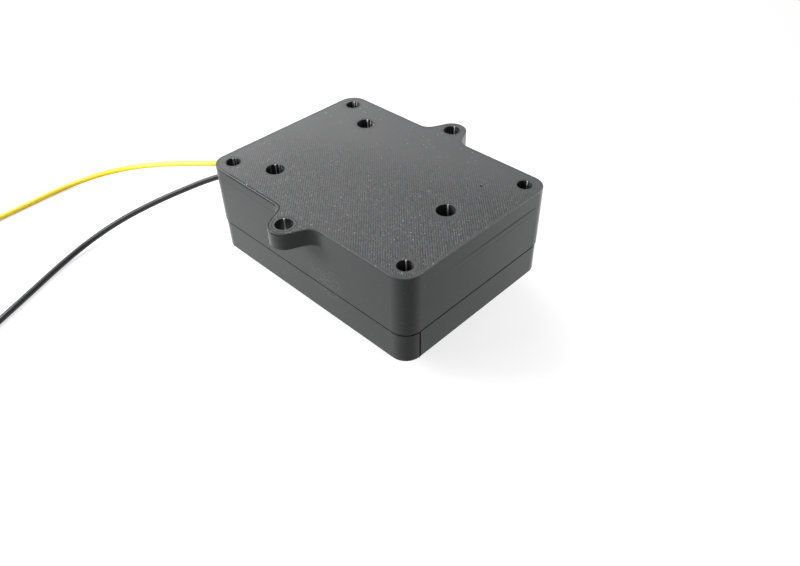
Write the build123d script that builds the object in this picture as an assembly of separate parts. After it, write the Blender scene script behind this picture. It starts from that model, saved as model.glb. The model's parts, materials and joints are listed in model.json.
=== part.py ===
from build123d import *
import math
import os

# Tool battery adapter: a two-part printed housing with two mounting ears, a slide rail and two
# contact blades underneath, a fuse inside, and two free leads.
# Millimetres. +X runs along the long side, away from the leads, and +Z is up.
# The origin is under the middle of the housing, on the surface that the rail stands on.

os.makedirs("parts", exist_ok=True)

# Housing
body_length = 103.3
body_width = 75.5
corner_radius = 6.65
top_height = 24.4
base_height = 12.8
wall = 3.0
roof = 3.5
base_floor = 2.6
seam_step = 0.3
seam_edge = 0.4
rim_edge = 0.15
base_edge = 0.25
lip_height = 2.0
lip_thickness = 1.4
lip_clearance = 0.2
column_wall = 2.4
overrun = 1.0

# Mounting ears on the two long sides
ear_offset = 5.4
ear_radius = 5.8
ear_hole_radius = 3.3
ear_flank_angle = 25.0
ear_fillet = 5.5
ear_thickness = 6.6

# Corner screws, M3 with a socket head, in brass inserts in the base
corner_head_radius = 2.75
corner_head_height = 3.0
corner_shank_radius = 1.5
corner_screw_length = 12.0
corner_key = 2.5
corner_key_depth = 1.5
corner_insert_radius = 2.3
corner_insert_length = 5.0

# Centre screws, M4 with a socket head, through both housings into inserts in the rail
centre_rear_x = -29.25
centre_rear_spacing = 47.0
centre_front_x = 34.7
centre_head_radius = 3.5
centre_head_height = 4.0
centre_shank_radius = 2.0
centre_screw_length = 20.0
centre_key = 3.0
centre_key_depth = 2.2
centre_insert_radius = 2.9
centre_insert_length = 4.7

# Fits that the screws and inserts share
head_clearance = 0.1
shank_clearance = 0.2
thread_clearance = 0.05
insert_clearance = 0.02
tip_clearance = 2.0
head_edge = 0.3

# Slide rail under the housing
rail_rear = 46.0
rail_front = 41.5
rail_plate = 3.0
rail_plate_width = 60.0
rail_plate_corner = 3.0
flange_thickness = 3.6
flange_width = 64.0
neck_height = 4.4
neck_width = 55.0
channel_width = 37.0
stop_length = 23.0
taper_length = 5.0
taper_width = 2.5
flange_edge = 0.6
spigot_radius = 5.2
spigot_height = 2.2
recess_clearance = 0.2

# Latch pocket in the base, in front of the rail
latch_length = 5.5
latch_width = 16.0
latch_depth = 4.6
latch_gap = 1.7

# Terminal holder and the two blades
holder_length = 9.0
holder_width = 31.0
holder_lift = 0.8
holder_flange_rear = 9.0
holder_flange_front = 2.0
holder_flange_width = 33.0
holder_flange_thickness = 2.5
holder_clearance = 0.2
holder_edge = 0.5
blade_spacing = 20.0
blade_thickness = 0.8
blade_lift = 1.6
blade_height = 5.8
blade_reach = 15.0
blade_inset = 1.0
blade_taper = 1.2
blade_clearance = 0.05
tab_width = 6.3
tab_height = 7.6

# Small self-tapping screws that hold the terminal holder, the lead clamp and the fuse holder
tapping_head_radius = 2.6
tapping_head_height = 1.8
tapping_shank_radius = 1.2
tapping_slot = 0.8
tapping_slot_depth = 0.8
holder_screw_length = 10.0
holder_screw_spacing = 10.0
holder_screw_inset = 3.5
clamp_screw_length = 9.0
clamp_screw_spacing = 20.0

# Push-on terminals
socket_wall = 0.8
socket_length = 7.0
socket_gap = 1.6
socket_clearance = 0.1
barrel_length = 5.5
barrel_wall = 0.6

# Leads and the clamp that holds them at the seam
lead_diameter = 2.5
lead_spacing = 9.0
exit_clearance = 0.3
held_clearance = 0.05
saddle_length = 6.2
saddle_width = 27.0
clamp_length = 5.4
clamp_thickness = 3.5
clamp_gap = 0.4
clamp_setback = 0.6
clamp_edge = 0.4

# Blade fuse in its holder
fuse_x = 22.0
fuse_spacing = 14.0
fuse_body_width = 19.1
fuse_body_length = 5.1
fuse_body_height = 12.4
fuse_body_corner = 1.0
fuse_blade_width = 5.2
fuse_blade_thickness = 0.65
fuse_blade_length = 6.4
fuse_waist = 1.0
fuse_waist_height = 3.0
fuse_holder_length = 9.0
fuse_holder_width = 24.0
fuse_holder_height = 9.4
fuse_flange_width = 39.0
fuse_flange_thickness = 2.5
fuse_boss_height = 4.0
fuse_boss_radius = 3.2
clip_thickness = 0.5
clip_lift = 2.0
clip_tab_length = 8.0
clip_clearance = 0.1

# Free ends: the unseen length of each lead lies in a flat coil, with its last few millimetres stripped
coil_gap = 0.6
coil_half_turns = 4
coil_across = 30.0
coil_tail_radius = 7.5
tinned_radius = 0.7
tinned_length = 6.0

# A bend takes this share of its shorter straight run on each side
bend_share = 0.45

# Levels that everything hangs on
base_bottom = flange_thickness + neck_height
seam = base_bottom + base_height
top_face = seam + top_height
plate_top = base_bottom + rail_plate
floor_top = plate_top + base_floor
spigot_top = plate_top + spigot_height
lead_radius = lead_diameter / 2
coil_mid_radius = coil_across / 2
rear_face = -body_length / 2
corner_x = body_length / 2 - corner_radius
corner_y = body_width / 2 - corner_radius
corner_bore_radius = corner_head_radius + head_clearance
corner_column_radius = corner_bore_radius + column_wall
corner_seat = seam + corner_screw_length - corner_insert_length
centre_bore_radius = centre_head_radius + head_clearance
centre_column_radius = centre_bore_radius + column_wall
centre_seat = spigot_top - centre_insert_length + centre_screw_length
stop_face = stop_length - rail_rear
holder_front = stop_face + holder_length
holder_seat = floor_top + holder_flange_thickness
blade_rear = stop_face + blade_inset
blade_tip = holder_front + blade_reach
tab_front = blade_rear + tab_width
tab_middle = blade_rear + tab_width / 2
tab_top = holder_seat + tab_height
clip_low = floor_top + clip_lift
clip_level = clip_low + blade_thickness / 2
clip_rear = fuse_x - fuse_holder_length / 2 - clip_tab_length
fuse_flange_low = floor_top + fuse_boss_height
fuse_screw_seat = fuse_flange_low + fuse_flange_thickness
fuse_bottom = floor_top + fuse_holder_height
clamp_x = rear_face + wall + clamp_setback + clamp_length / 2
base_inner_length = body_length - 2 * (wall + lip_clearance + lip_thickness)
base_inner_width = body_width - 2 * (wall + lip_clearance + lip_thickness)
base_inner_radius = corner_radius - wall - lip_clearance - lip_thickness
saddle_front = saddle_length - base_inner_length / 2

corner_places = [(x, y) for x in (-corner_x, corner_x) for y in (-corner_y, corner_y)]
centre_places = [
    (centre_rear_x, -centre_rear_spacing / 2),
    (centre_rear_x, centre_rear_spacing / 2),
    (centre_front_x, 0),
]
lead_places = {"yellow": lead_spacing / 2, "black": -lead_spacing / 2}


def block(x, y, z):
    """A box between two x, two y and two z values."""
    size = (x[1] - x[0], y[1] - y[0], z[1] - z[0])
    return Pos(x[0], y[0], z[0]) * Box(*size, align=(Align.MIN, Align.MIN, Align.MIN))


def across(width):
    """The two y values of something centred on the long axis."""
    return (-width / 2, width / 2)


def rod(x, y, radius, low, high):
    """An upright cylinder between two heights."""
    upright = (Align.CENTER, Align.CENTER, Align.MIN)
    return Pos(x, y, low) * Cylinder(radius, high - low, align=upright)


def lying_rod(x_low, x_high, y, z, radius):
    """A cylinder along X."""
    along = Plane((x_low, y, z), z_dir=(1, 0, 0))
    return extrude(along * Circle(radius), x_high - x_low)


def slab(length, width, radius, low, high):
    """An upright plate with rounded corners between two heights."""
    return extrude(Pos(0, 0, low) * RectangleRounded(length, width, radius), high - low)


def arc_middle(centre, first, last, radius):
    """The point half way round the short arc between two points of a circle."""
    x = (first[0] + last[0]) / 2 - centre[0]
    y = (first[1] + last[1]) / 2 - centre[1]
    share = radius / math.hypot(x, y)
    return (centre[0] + x * share, centre[1] + y * share)


def ear_outline(side):
    """One ear in plan: a round end whose straight flanks widen to the wall and meet it in hollow curves."""
    edge = body_width / 2
    hole = edge + ear_offset
    slope = math.radians(ear_flank_angle)
    touch_x = ear_radius * math.cos(slope)
    touch_y = hole + ear_radius * math.sin(slope)
    bend_x = touch_x + (touch_y - edge) * math.tan(slope)
    run = ear_fillet * math.tan(math.pi / 4 - slope / 2)
    foot_x = bend_x + run
    meet_x = bend_x - run * math.sin(slope)
    meet_y = edge + run * math.cos(slope)
    inside = edge - wall / 2

    def place(x, y):
        return (x, side * y)

    line = []
    for hand in (-1, 1):
        foot = (hand * foot_x, edge)
        meet = (hand * meet_x, meet_y)
        middle = arc_middle((hand * foot_x, edge + ear_fillet), foot, meet, ear_fillet)
        line.append(Line(place(hand * foot_x, inside), place(*foot)))
        line.append(ThreePointArc(place(*foot), place(*middle), place(*meet)))
        line.append(Line(place(*meet), place(hand * touch_x, touch_y)))
    crown = place(0, hole + ear_radius)
    line.append(ThreePointArc(place(-touch_x, touch_y), crown, place(touch_x, touch_y)))
    line.append(Line(place(foot_x, inside), place(-foot_x, inside)))
    return make_face(line)


def top_housing():
    """The upper housing: a deep cap with ears, four corner screw columns and three centre ones."""
    shell = slab(body_length, body_width, corner_radius, seam, top_face)
    for side in (-1, 1):
        shell += extrude(Pos(0, 0, top_face - ear_thickness) * ear_outline(side), ear_thickness)
    shell = chamfer(shell.edges().group_by(Axis.Z)[-1], rim_edge)
    inside = (body_length - 2 * wall, body_width - 2 * wall, corner_radius - wall)
    shell -= slab(*inside, seam - overrun, top_face - roof)
    middle_of_wall = (body_length - wall, body_width - wall, corner_radius - wall / 2)
    for x, y in corner_places:
        column = rod(x, y, corner_column_radius, seam, top_face - roof)
        shell += column & slab(*middle_of_wall, seam, top_face)
    for x, y in centre_places:
        shell += rod(x, y, centre_column_radius, seam, top_face - roof)
    for x, y in corner_places:
        shell -= rod(x, y, corner_bore_radius, corner_seat, top_face + overrun)
        shell -= rod(x, y, corner_shank_radius + shank_clearance, seam - overrun, top_face)
    for x, y in centre_places:
        shell -= rod(x, y, centre_bore_radius, centre_seat, top_face + overrun)
        shell -= rod(x, y, centre_shank_radius + shank_clearance, seam - overrun, top_face)
    for side in (-1, 1):
        hole_y = side * (body_width / 2 + ear_offset)
        shell -= rod(0, hole_y, ear_hole_radius, top_face - ear_thickness - overrun, top_face + overrun)
    return shell - lead_exits()


def lead_exits():
    """The two round holes at the seam, half in each housing, that the leads leave by."""
    holes = Part()
    for y in lead_places.values():
        low = rear_face - overrun
        holes += lying_rod(low, -base_inner_length / 2, y, seam, lead_radius + exit_clearance)
    return holes


def base_housing():
    """The lower housing: a shallow tray with a rim, a recess underneath for the rail and a latch pocket."""
    length = body_length - 2 * seam_step
    width = body_width - 2 * seam_step
    tray = slab(length, width, corner_radius - seam_step, base_bottom, seam)
    tray = chamfer(tray.edges().group_by(Axis.Z)[0], base_edge)
    tray = chamfer(tray.edges().group_by(Axis.Z)[-1], seam_edge)
    tray -= slab(base_inner_length, base_inner_width, base_inner_radius, floor_top, seam + overrun)
    lip = slab(
        base_inner_length + 2 * lip_thickness,
        base_inner_width + 2 * lip_thickness,
        base_inner_radius + lip_thickness,
        seam,
        seam + lip_height,
    )
    lip -= slab(base_inner_length, base_inner_width, base_inner_radius, seam, seam + lip_height)
    for x, y in corner_places:
        lip -= rod(x, y, corner_column_radius + lip_clearance, seam, seam + lip_height)
    lip -= block((rear_face, saddle_front), across(saddle_width + 2 * overrun), (seam, seam + lip_height))
    tray += lip
    for x, y in corner_places:
        boss = rod(x, y, corner_insert_radius + column_wall, plate_top, seam)
        tray += boss & slab(length - wall, width - wall, corner_radius - wall / 2, plate_top, seam)
        tray -= rod(x, y, corner_insert_radius + insert_clearance, seam - corner_insert_length, seam)
        tray -= rod(x, y, corner_shank_radius + shank_clearance, floor_top, seam)
    for x, y in centre_places:
        tray += rod(x, y, centre_column_radius, plate_top, seam)
    tray += block((-base_inner_length / 2, saddle_front), across(saddle_width), (floor_top, seam))
    for y in fuse_screw_places():
        tray += rod(fuse_x, y, fuse_boss_radius, floor_top, floor_top + fuse_boss_height)
        pilot_top = floor_top + fuse_boss_height
        tray -= rod(fuse_x, y, tapping_shank_radius, floor_top, pilot_top)
    recess = rail_plate_slab(recess_clearance, base_bottom - overrun, plate_top)
    tray -= recess
    for x, y in centre_places:
        tray -= rod(x, y, spigot_radius + recess_clearance, base_bottom, spigot_top + recess_clearance)
        tray -= rod(x, y, centre_shank_radius + shank_clearance, base_bottom, seam + overrun)
    tray -= holder_window(base_bottom, floor_top)
    for x, y in holder_screw_places():
        tray -= rod(x, y, tapping_shank_radius + shank_clearance, plate_top, floor_top)
    latch_x = rail_front + latch_gap
    tray -= block(
        (latch_x, latch_x + latch_length),
        across(latch_width),
        (base_bottom - overrun, base_bottom + latch_depth),
    )
    for y in lead_places.values():
        held = lead_radius + held_clearance
        tray -= lying_rod(-base_inner_length / 2, saddle_front, y, seam, held)
    for y in clamp_screw_places():
        depth = clamp_screw_length - clamp_thickness
        tray -= rod(clamp_x, y, tapping_shank_radius, seam - depth, seam + overrun)
    return tray - lead_exits()


def rail_plate_slab(clearance, low, high):
    """The outline of the rail's plate, grown by a clearance."""
    length = rail_rear + rail_front + 2 * clearance
    width = rail_plate_width + 2 * clearance
    middle = (rail_front - rail_rear) / 2
    return Pos(middle, 0, 0) * slab(length, width, rail_plate_corner + clearance, low, high)


def holder_window(low, high):
    """The opening that the terminal holder passes down through."""
    gap = holder_clearance
    x = (stop_face, stop_face + holder_length + gap)
    return block(x, across(holder_width + 2 * gap), (low, high))


def slide_rail():
    """The rail: a plate with two hanging rails whose flanges face outwards, joined by a stop block."""
    rail = rail_plate_slab(0, base_bottom, plate_top)
    neck = (channel_width / 2, neck_width / 2)
    flange = (channel_width / 2, flange_width / 2)
    for side in (-1, 1):
        hanging = block((-rail_rear, rail_front), neck, (0, base_bottom))
        foot = block((-rail_rear, rail_front), flange, (0, flange_thickness))
        outer = foot.edges().filter_by(Axis.Z).sort_by(Axis.Y)[-2:].sort_by(Axis.X)[-1]
        foot = chamfer(outer, taper_length, taper_width)
        low_edge = foot.edges().group_by(Axis.Z)[0].sort_by(Axis.Y)[-1]
        foot = chamfer(low_edge, flange_edge)
        pair = hanging + foot
        rail += pair if side > 0 else mirror(pair, Plane.XZ)
    rail += block((-rail_rear, stop_face), across(channel_width), (0, base_bottom))
    for x, y in centre_places:
        rail += rod(x, y, spigot_radius, plate_top, spigot_top)
    for x, y in centre_places:
        insert_bottom = spigot_top - centre_insert_length
        rail -= rod(x, y, centre_insert_radius + insert_clearance, insert_bottom, spigot_top)
        tip = centre_shank_radius + shank_clearance
        rail -= rod(x, y, tip, insert_bottom - tip_clearance, insert_bottom)
    rail -= holder_window(base_bottom, plate_top)
    for x, y in holder_screw_places():
        depth = holder_screw_length - holder_flange_thickness
        rail -= rod(x, y, tapping_shank_radius, floor_top - depth, plate_top)
    return rail


def socket_screw(head_radius, head_height, shank_radius, length, key, key_depth):
    """A socket-head screw with its seat at the origin, pointing down."""
    head = rod(0, 0, head_radius, 0, head_height)
    head = chamfer(head.edges().group_by(Axis.Z)[-1], head_edge)
    hexagon = Pos(0, 0, head_height - key_depth) * RegularPolygon(key / 2, 6, major_radius=False)
    head -= extrude(hexagon, key_depth)
    shank = rod(0, 0, shank_radius - thread_clearance, -length, 0)
    shank = chamfer(shank.edges().group_by(Axis.Z)[0], head_edge)
    return head + shank


def tapping_screw(length):
    """A small slotted pan-head screw with its seat at the origin, pointing down."""
    head = rod(0, 0, tapping_head_radius, 0, tapping_head_height)
    head = fillet(head.edges().group_by(Axis.Z)[-1], tapping_head_height / 2)
    slot = block(
        across(2 * tapping_head_radius),
        across(tapping_slot),
        (tapping_head_height - tapping_slot_depth, tapping_head_height),
    )
    shank = rod(0, 0, tapping_shank_radius - thread_clearance, -length, 0)
    return head - slot + chamfer(shank.edges().group_by(Axis.Z)[0], head_edge)


def insert(outer_radius, shank_radius, length):
    """A knurled brass insert without its knurl, with a waist groove, its top at the origin."""
    sleeve = rod(0, 0, outer_radius, -length, 0)
    groove_low = -length / 2 - head_edge
    groove = rod(0, 0, outer_radius, groove_low, groove_low + 2 * head_edge)
    groove -= rod(0, 0, outer_radius - head_edge, groove_low, groove_low + 2 * head_edge)
    return sleeve - groove - rod(0, 0, shank_radius, -length, 0)


def group(pieces):
    """Several separate solids as one node."""
    return Compound(children=list(pieces))


def corner_screws():
    head = (corner_head_radius, corner_head_height)
    key = (corner_key, corner_key_depth)
    screw = socket_screw(*head, corner_shank_radius, corner_screw_length, *key)
    return group(Pos(x, y, corner_seat) * screw for x, y in corner_places)


def corner_inserts():
    sleeve = insert(corner_insert_radius, corner_shank_radius, corner_insert_length)
    return group(Pos(x, y, seam) * sleeve for x, y in corner_places)


def centre_screws():
    head = (centre_head_radius, centre_head_height)
    key = (centre_key, centre_key_depth)
    screw = socket_screw(*head, centre_shank_radius, centre_screw_length, *key)
    return group(Pos(x, y, centre_seat) * screw for x, y in centre_places)


def centre_inserts():
    sleeve = insert(centre_insert_radius, centre_shank_radius, centre_insert_length)
    return group(Pos(x, y, spigot_top) * sleeve for x, y in centre_places)


def holder_screw_places():
    x = stop_face - holder_flange_rear + holder_screw_inset
    return [(x, side * holder_screw_spacing / 2) for side in (-1, 1)]


def blade_box(clearance, low_x, high_x, side, low, high):
    """A stretch of a blade, grown by a clearance."""
    middle = side * blade_spacing / 2
    half = blade_thickness / 2 + clearance
    return block((low_x - clearance, high_x + clearance), (middle - half, middle + half), (low, high))


def terminal_holder():
    """The moulded block that hangs in the rail's channel and carries the blades."""
    hanging = block((stop_face, holder_front), across(holder_width), (holder_lift, floor_top))
    hanging = chamfer(hanging.edges().group_by(Axis.Z)[0], holder_edge)
    flange_x = (stop_face - holder_flange_rear, holder_front + holder_flange_front)
    flange = block(flange_x, across(holder_flange_width), (floor_top, holder_seat))
    flange = chamfer(flange.edges().group_by(Axis.Z)[-1], holder_edge)
    holder = hanging + flange
    for side in (-1, 1):
        arm = (blade_lift - blade_clearance, blade_lift + blade_height + blade_clearance)
        holder -= blade_box(blade_clearance, blade_rear, blade_tip, side, *arm)
        holder -= blade_box(blade_clearance, blade_rear, tab_front, side, blade_lift, tab_top)
    for x, y in holder_screw_places():
        holder -= rod(x, y, tapping_shank_radius + shank_clearance, floor_top, tab_top)
    return holder


def terminal_blade(side):
    """An L-shaped contact blade: an arm that reaches forward in the channel and a tab inside the housing."""
    arm = blade_box(0, blade_rear, blade_tip, side, blade_lift, blade_lift + blade_height)
    nose = arm.edges().filter_by(Axis.Y).sort_by(Axis.X)[-2:]
    arm = chamfer(nose, blade_taper)
    tab = blade_box(0, blade_rear, tab_front, side, blade_lift, tab_top)
    corners = tab.edges().filter_by(Axis.Y).sort_by(Axis.Z)[-2:]
    return arm + chamfer(corners, blade_taper)


def holder_fixings():
    screw = tapping_screw(holder_screw_length)
    return group(Pos(x, y, holder_seat) * screw for x, y in holder_screw_places())


def socket_shell(height):
    """A push-on socket lying along X: a flat floor with two edges rolled over the tab, open at both ends."""
    gap = socket_clearance
    inner_width = tab_width + 2 * gap
    inner_height = height + 2 * gap
    outer_width = inner_width + 2 * socket_wall
    outer_height = inner_height + 2 * socket_wall
    shell = block((0, socket_length), across(outer_width), across(outer_height))
    shell = fillet(shell.edges().filter_by(Axis.X), socket_wall / 2)
    shell -= block((0, socket_length), across(inner_width), across(inner_height))
    return shell - block((0, socket_length), across(socket_gap), (0, outer_height))


def barrel():
    """The crimped barrel behind a socket, along -X from the origin."""
    bore = lead_radius + held_clearance
    tube = lying_rod(-barrel_length, 0, 0, 0, bore + barrel_wall)
    return tube - lying_rod(-barrel_length, 0, 0, 0, bore)


def straight_socket():
    """A push-on terminal whose barrel is in line with its socket, its mouth facing +X."""
    return socket_shell(blade_thickness) + barrel()


def flag_socket():
    """A push-on terminal for an upright tab, with its barrel at right angles, towards -X."""
    standing = Plane((0, 0, -socket_length / 2), x_dir=(0, 0, 1), z_dir=(0, 1, 0))
    return standing * socket_shell(blade_thickness) + Pos(-flag_socket_side(), 0, 0) * barrel()


def blade_socket(side, turn):
    """The flag terminal on one blade's tab, turned so that its barrel faces its lead."""
    return Pos(tab_middle, side * blade_spacing / 2, seam) * Rot(0, 0, turn) * flag_socket()


def clamp_screw_places():
    return [side * clamp_screw_spacing / 2 for side in (-1, 1)]


def lead_clamp():
    """The bar that presses both leads into the saddle behind the exit."""
    x = (clamp_x - clamp_length / 2, clamp_x + clamp_length / 2)
    bar = block(x, across(saddle_width), (seam + clamp_gap, seam + clamp_gap + clamp_thickness))
    bar = chamfer(bar.edges().group_by(Axis.Z)[-1], clamp_edge)
    for y in lead_places.values():
        bar -= lying_rod(*x, y, seam, lead_radius + held_clearance)
    for y in clamp_screw_places():
        bar -= rod(clamp_x, y, tapping_shank_radius + shank_clearance, seam, top_face)
    return bar


def clamp_screws():
    seat = seam + clamp_gap + clamp_thickness
    length = clamp_screw_length - clamp_gap
    return group(Pos(clamp_x, y, seat) * tapping_screw(length) for y in clamp_screw_places())


def fuse_screw_places():
    return [side * (fuse_holder_width + fuse_flange_width) / 4 for side in (-1, 1)]


def fuse_holder():
    """The moulded holder, with a slot for each clip and a flange at each end."""
    x = (fuse_x - fuse_holder_length / 2, fuse_x + fuse_holder_length / 2)
    holder = block(x, across(fuse_holder_width), (floor_top, fuse_bottom))
    ears = block(x, across(fuse_flange_width), (fuse_flange_low, fuse_screw_seat))
    ears = fillet(ears.edges().filter_by(Axis.Z), fuse_flange_thickness / 2)
    holder += ears
    gap = clip_clearance
    jaw = fuse_blade_thickness / 2 + clip_thickness + gap
    half = tab_width / 2 + gap
    for side in (-1, 1):
        middle = side * fuse_spacing / 2
        y = (middle - half, middle + half)
        holder -= block((fuse_x - jaw, fuse_x + jaw), y, (clip_low - gap, fuse_bottom))
        holder -= block((x[0], fuse_x + jaw), y, (clip_low - gap, clip_low + blade_thickness + gap))
    hole_radius = tapping_shank_radius + shank_clearance
    for y in fuse_screw_places():
        holder -= rod(fuse_x, y, hole_radius, fuse_flange_low, fuse_bottom + overrun)
    return holder


def fuse_clip(side):
    """A clip of two upright jaws on a flat tab that comes out of the holder towards the leads."""
    middle = side * fuse_spacing / 2
    y = (middle - tab_width / 2, middle + tab_width / 2)
    jaw_out = fuse_blade_thickness / 2 + clip_thickness
    tab = block((clip_rear, fuse_x + jaw_out), y, (clip_low, clip_low + blade_thickness))
    corners = tab.edges().filter_by(Axis.Z).sort_by(Axis.X)[:2]
    clip = chamfer(corners, blade_taper)
    clip += block((fuse_x - jaw_out, fuse_x + jaw_out), y, (clip_low, fuse_bottom))
    slot = (fuse_x - fuse_blade_thickness / 2, fuse_x + fuse_blade_thickness / 2)
    return clip - block(slot, y, (clip_low + blade_thickness, fuse_bottom))


def blade_fuse():
    """A plug-in blade fuse: a moulded body with a waist and two flat blades."""
    x = (fuse_x - fuse_body_length / 2, fuse_x + fuse_body_length / 2)
    body = block(x, across(fuse_body_width), (fuse_bottom, fuse_bottom + fuse_body_height))
    body = fillet(body.edges().filter_by(Axis.Z), fuse_body_corner)
    for side in (-1, 1):
        notch = fuse_body_width / 2 - fuse_waist
        y = sorted((side * notch, side * fuse_body_width))
        body -= block(x, y, (fuse_bottom + fuse_waist_height, fuse_bottom + 2 * fuse_waist_height))
        middle = side * fuse_spacing / 2
        y = (middle - fuse_blade_width / 2, middle + fuse_blade_width / 2)
        half = fuse_blade_thickness / 2 - blade_clearance
        body += block((fuse_x - half, fuse_x + half), y, (fuse_bottom - fuse_blade_length, fuse_bottom))
    return body


def fuse_screws():
    screw = tapping_screw(fuse_flange_thickness + fuse_boss_height - clip_clearance)
    return group(Pos(fuse_x, y, fuse_screw_seat) * screw for y in fuse_screw_places())


def fuse_socket(side):
    """The push-on terminal on one clip's tab."""
    return Pos(clip_rear, side * fuse_spacing / 2, clip_level) * straight_socket()


def route_radii(points):
    """The largest even arc radius at each corner of a route."""
    radii = []
    for a, b, c in zip(points, points[1:], points[2:]):
        first = Vector(*b) - Vector(*a)
        second = Vector(*c) - Vector(*b)
        turn = math.radians(first.get_angle(second))
        radii.append(bend_share * min(first.length, second.length) / math.tan(turn / 2))
    return radii


def offset_bend(first, last):
    """The two corners of an S-shaped bend between two stretches that both run along X."""
    length = last[0] - first[0]
    shift = math.hypot(last[1] - first[1], last[2] - first[2])
    square = 1 - (2 * bend_share) ** 2
    slope = 4 * bend_share * length
    middle = (math.sqrt(slope**2 + 4 * square * (length**2 + shift**2)) - slope) / (2 * square)
    straight = bend_share * middle
    return [(first[0] + straight, first[1], first[2]), (last[0] - straight, last[1], last[2])]


def tube(name, points, radius):
    """A round lead along straight runs joined by tangent arcs."""
    radii = route_radii(points)
    path = FilletPolyline(*points, radius=radii)
    start = Plane(path @ 0, z_dir=path % 0)
    solid = sweep(start * Circle(radius), path=path)
    expected = math.pi * radius**2 * path.length
    print(name, "length", round(path.length, 1), "volume share", round(solid.volume / expected, 4))
    print(name, "radii", [round(r, 1) for r in radii])
    return solid


def flag_socket_side():
    """How far the side of a flag terminal is from the middle of its tab."""
    return tab_width / 2 + socket_clearance + socket_wall


def black_inner_lead():
    """The held stretch of the black lead, from the outer wall to the negative blade's terminal."""
    y = lead_places["black"]
    target = tab_middle - flag_socket_side()
    saddle_end = (saddle_front, y, seam)
    barrel_end = (target - barrel_length, -blade_spacing / 2, seam)
    bend = offset_bend(saddle_end, barrel_end)
    points = [(rear_face, y, seam), *bend, (target, -blade_spacing / 2, seam)]
    return tube("black_inner_lead", points, lead_radius)


def yellow_inner_lead():
    """The held stretch of the yellow lead, from the outer wall past the blades to the fuse."""
    y = lead_places["yellow"]
    barrel_end = (clip_rear - barrel_length, -fuse_spacing / 2, clip_level)
    bend = offset_bend((tab_front, y, seam), barrel_end)
    points = [(rear_face, y, seam), *bend, (clip_rear, -fuse_spacing / 2, clip_level)]
    return tube("yellow_inner_lead", points, lead_radius)


def fuse_jumper():
    """The short lead from the positive blade's terminal to the fuse."""
    mouth = tab_middle + flag_socket_side()
    first = (mouth + barrel_length, blade_spacing / 2, seam)
    last = (clip_rear - barrel_length, fuse_spacing / 2, clip_level)
    bend = offset_bend(first, last)
    points = [(mouth, blade_spacing / 2, seam), *bend, (clip_rear, fuse_spacing / 2, clip_level)]
    return tube("fuse_jumper", points, lead_radius)


# Each free lead's route from the wall to its coil, chosen by hand
yellow_route = [
    (-51.65, 4.5, 20.8),
    (-62.0, 4.5, 20.8),
    (-76.0, -2.4, 19.4),
    (-92.4, -12.6, 16.2),
    (-111.0, -20.8, 12.2),
    (-127.0, -28.4, 8.0),
    (-139.2, -38.0, 4.6),
    (-147.0, -50.6, 2.2),
    (-149.3, -64.3, 1.25),
    (-148.3, -78.5, 1.25),
    (-147.5, -93.5, 1.25),
    (-147.2, -109.0, 1.25),
]
black_route = [
    (-51.65, -4.5, 20.8),
    (-61.0, -4.5, 20.8),
    (-72.4, -9.6, 19.4),
    (-82.2, -18.6, 16.6),
    (-90.0, -32.8, 12.6),
    (-96.4, -46.6, 8.6),
    (-100.6, -60.4, 4.8),
    (-100.2, -76.0, 2.1),
    (-95.2, -91.4, 1.25),
    (-88.4, -106.0, 1.25),
    (-82.0, -120.4, 1.25),
    (-76.0, -133.4, 1.25),
]
routes = {"yellow": yellow_route, "black": black_route}


def coil_path(route):
    """A flat spiral of half turns that winds inwards from the end of a route, and then its short tail."""
    end = Vector(*route[-1])
    before = Vector(*route[-2])
    heading = Vector(end.X - before.X, end.Y - before.Y, 0).normalized()
    pitch = lead_diameter + coil_gap
    outer = coil_mid_radius + pitch * (coil_half_turns - 1) / 4
    inward = heading.rotate(Axis.Z, -90)
    place = end + heading * lead_diameter
    edges = [Line(end, place)]
    turns = []
    for number in range(coil_half_turns):
        radius = outer - number * pitch / 2
        middle = place + inward * radius + heading * radius
        last = place + inward * (2 * radius)
        edges.append(ThreePointArc(place, middle, last))
        turns.append((place + inward * radius, radius))
        place, heading, inward = last, heading * -1, inward * -1
    centre = place + inward * coil_tail_radius
    share = math.sqrt(0.5)
    middle = centre + (heading - inward) * (coil_tail_radius * share)
    last = centre + heading * coil_tail_radius
    edges.append(ThreePointArc(place, middle, last))
    tail = last + inward * lead_diameter
    edges.append(Line(last, tail))
    return Wire(edges), tail, inward


def own_gap(path):
    """The least gap between turns, measured on points well apart along the path."""
    count = 240
    step = path.length / count
    points = [path @ (number / count) for number in range(count + 1)]
    apart = math.ceil(3 * lead_diameter / step)
    gaps = [
        (points[i] - points[j]).length - lead_diameter
        for i in range(count + 1)
        for j in range(i + apart, count + 1)
    ]
    return min(gaps)


def lead_coil(name, path):
    start = Plane(path @ 0, z_dir=path % 0)
    solid = sweep(start * Circle(lead_radius), path=path)
    expected = math.pi * lead_radius**2 * path.length
    print(name, "length", round(path.length, 1), "volume share", round(solid.volume / expected, 4))
    print(name, "least gap to itself", round(own_gap(path), 2))
    return solid


def tinned_end(tail, direction):
    """The stripped and tinned strands at the end of a lead."""
    return extrude(Plane(tail, z_dir=direction) * Circle(tinned_radius), tinned_length)


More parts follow.
